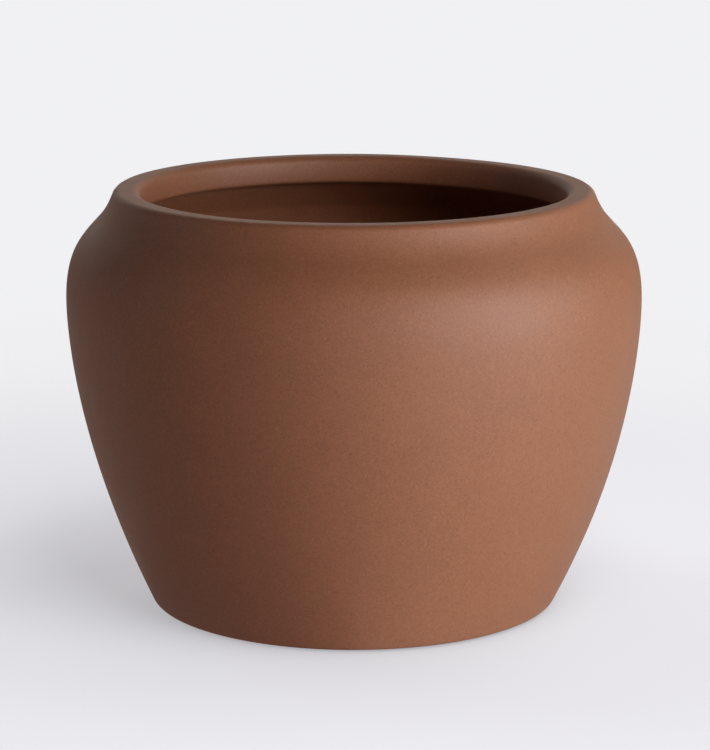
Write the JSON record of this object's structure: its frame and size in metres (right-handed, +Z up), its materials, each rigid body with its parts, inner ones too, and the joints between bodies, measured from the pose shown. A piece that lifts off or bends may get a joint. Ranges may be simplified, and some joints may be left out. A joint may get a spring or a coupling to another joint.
{
  "type": "terracotta planter pot",
  "caption": "Round-bellied unglazed clay planter with a flared, rounded rim, inner lip, tapered foot, drain hole with lift-out rubber stopper, and thin pads.",
  "frame": {"origin": "on the pot's axis, at the surface the pot stands on (the undersides of its pads)", "axes": "+Z up along the pot's axis of revolution; the shape is the same all round, so +X and +Y are free and only place the pads, which lie on the diagonals"},
  "size_m": [0.3559, 0.356, 0.26],
  "materials": {
    "terracotta": "matte unglazed fired clay, brown with a fine sandy grain",
    "plug_rubber": "matte black rubber",
    "pad_rubber": "matte dark rubber foam"
  },
  "bodies": {
    "pot": {"pot_body": "terracotta", "foot_pad_1": "pad_rubber", "foot_pad_2": "pad_rubber", "foot_pad_3": "pad_rubber", "foot_pad_4": "pad_rubber"},
    "stopper": {"drain_plug": "plug_rubber"}
  },
  "joints": [
    {"name": "stopper_lift", "type": "slide", "parent": "pot", "child": "stopper", "axis": [0, 0, 1], "range_m": [0, 0.28]}
  ]
}
